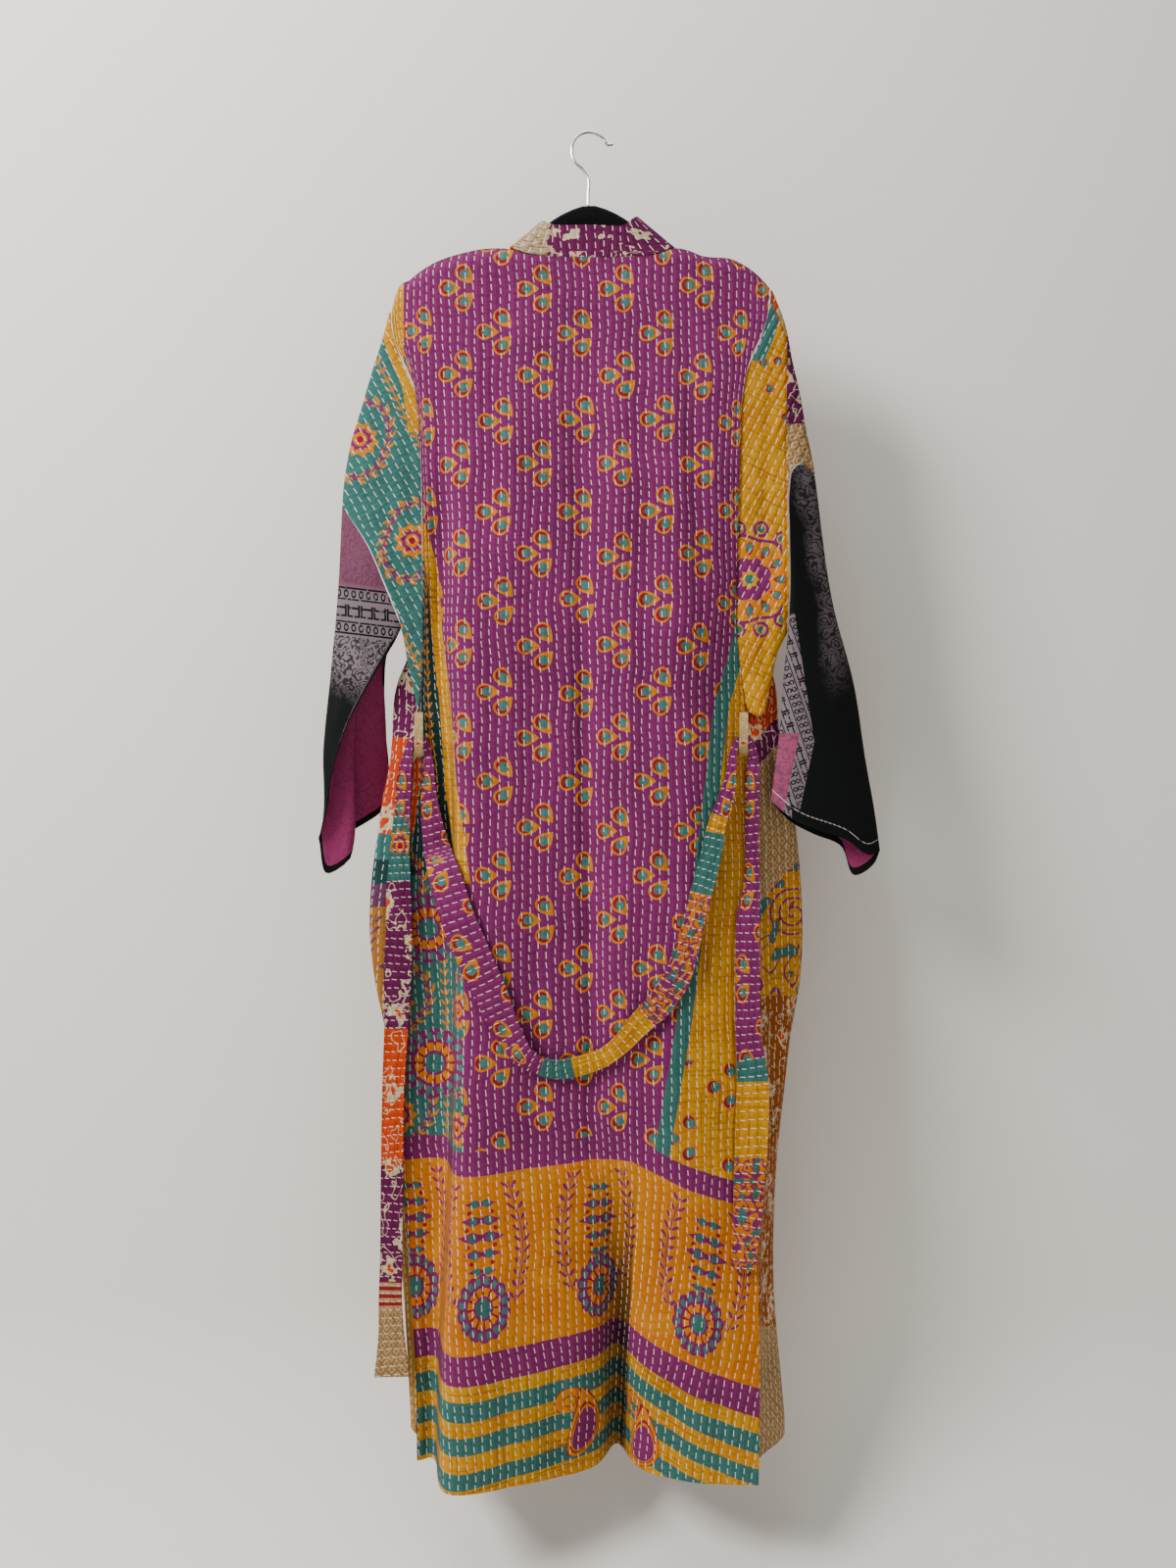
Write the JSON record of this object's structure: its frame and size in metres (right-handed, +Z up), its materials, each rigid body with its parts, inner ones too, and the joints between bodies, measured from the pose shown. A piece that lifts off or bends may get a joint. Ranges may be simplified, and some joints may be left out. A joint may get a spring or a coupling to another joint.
{
  "type": "kimono coat on a hanger",
  "caption": "Long quilted kimono coat with wide two-part sleeves, collar band and tie belt, hung on a slim velvet hanger with a wire hook, seen from its back.",
  "frame": {"origin": "just inside the top of the hanger's hook, where the hook rests on a rail or peg", "axes": "+Z up; -Y is the side that the coat's back faces, which the picture shows; +X to the right in the picture"},
  "size_m": [0.6521, 0.1191, 1.5535],
  "materials": {
    "quilt_purple": "quilted cotton, matte",
    "quilt_flowered": "quilted cotton, matte",
    "quilt_teal": "quilted cotton, matte",
    "quilt_yellow": "quilted cotton, matte",
    "sari_black": "thin printed cotton",
    "belt_purple": "quilted cotton, matte",
    "loop_cream": "cotton, matte",
    "hanger_velvet": "flocked black",
    "hook_steel": "bright wire"
  },
  "bodies": {
    "root": {"back_panel": "quilt_purple", "front_left": "quilt_flowered", "front_right": "quilt_flowered", "sleeve_back_left": "quilt_teal", "sleeve_front_left": "quilt_teal", "sleeve_back_right": "quilt_yellow", "sleeve_front_right": "quilt_flowered", "sleeve_lower_left": "sari_black", "sleeve_lower_right": "sari_black", "collar_band": "quilt_flowered", "belt_drape_left": "belt_purple", "belt_drape_right": "belt_purple", "belt_end_left": "belt_purple", "belt_end_right": "belt_purple", "belt_loop_left": "loop_cream", "belt_loop_right": "loop_cream", "hanger_body": "hanger_velvet", "hanger_hook": "hook_steel"}
  },
  "joints": []
}
